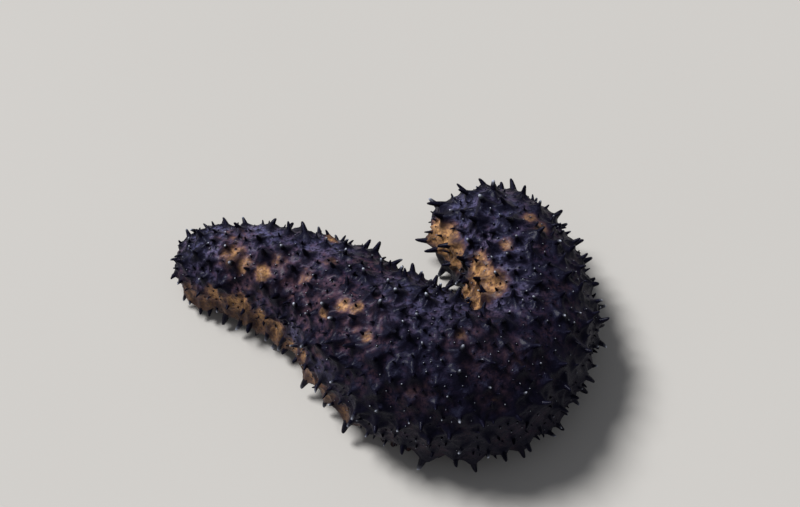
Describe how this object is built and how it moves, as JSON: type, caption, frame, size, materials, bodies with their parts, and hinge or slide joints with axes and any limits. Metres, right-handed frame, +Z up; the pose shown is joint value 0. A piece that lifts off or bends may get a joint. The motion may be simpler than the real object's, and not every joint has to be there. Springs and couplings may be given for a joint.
{
  "type": "sea cucumber",
  "caption": "Black sea cucumber lying bent like a comma, with thorn-like papillae over its back and short tube feet under its sole.",
  "frame": {"origin": "on the floor, under the middle of the animal's bounding box", "axes": "+X from the mouth end towards the bend, along the longest extent; +Z up, the shortest extent; the vent end curls round on the +Y side"},
  "size_m": [0.144, 0.1046, 0.0461],
  "materials": {
    "skin": "satin"
  },
  "bodies": {
    "root": {"mouth_end": "skin", "fore_body": "skin", "middle_body": "skin", "bend_body": "skin", "rear_body": "skin", "vent_end": "skin"}
  },
  "joints": []
}
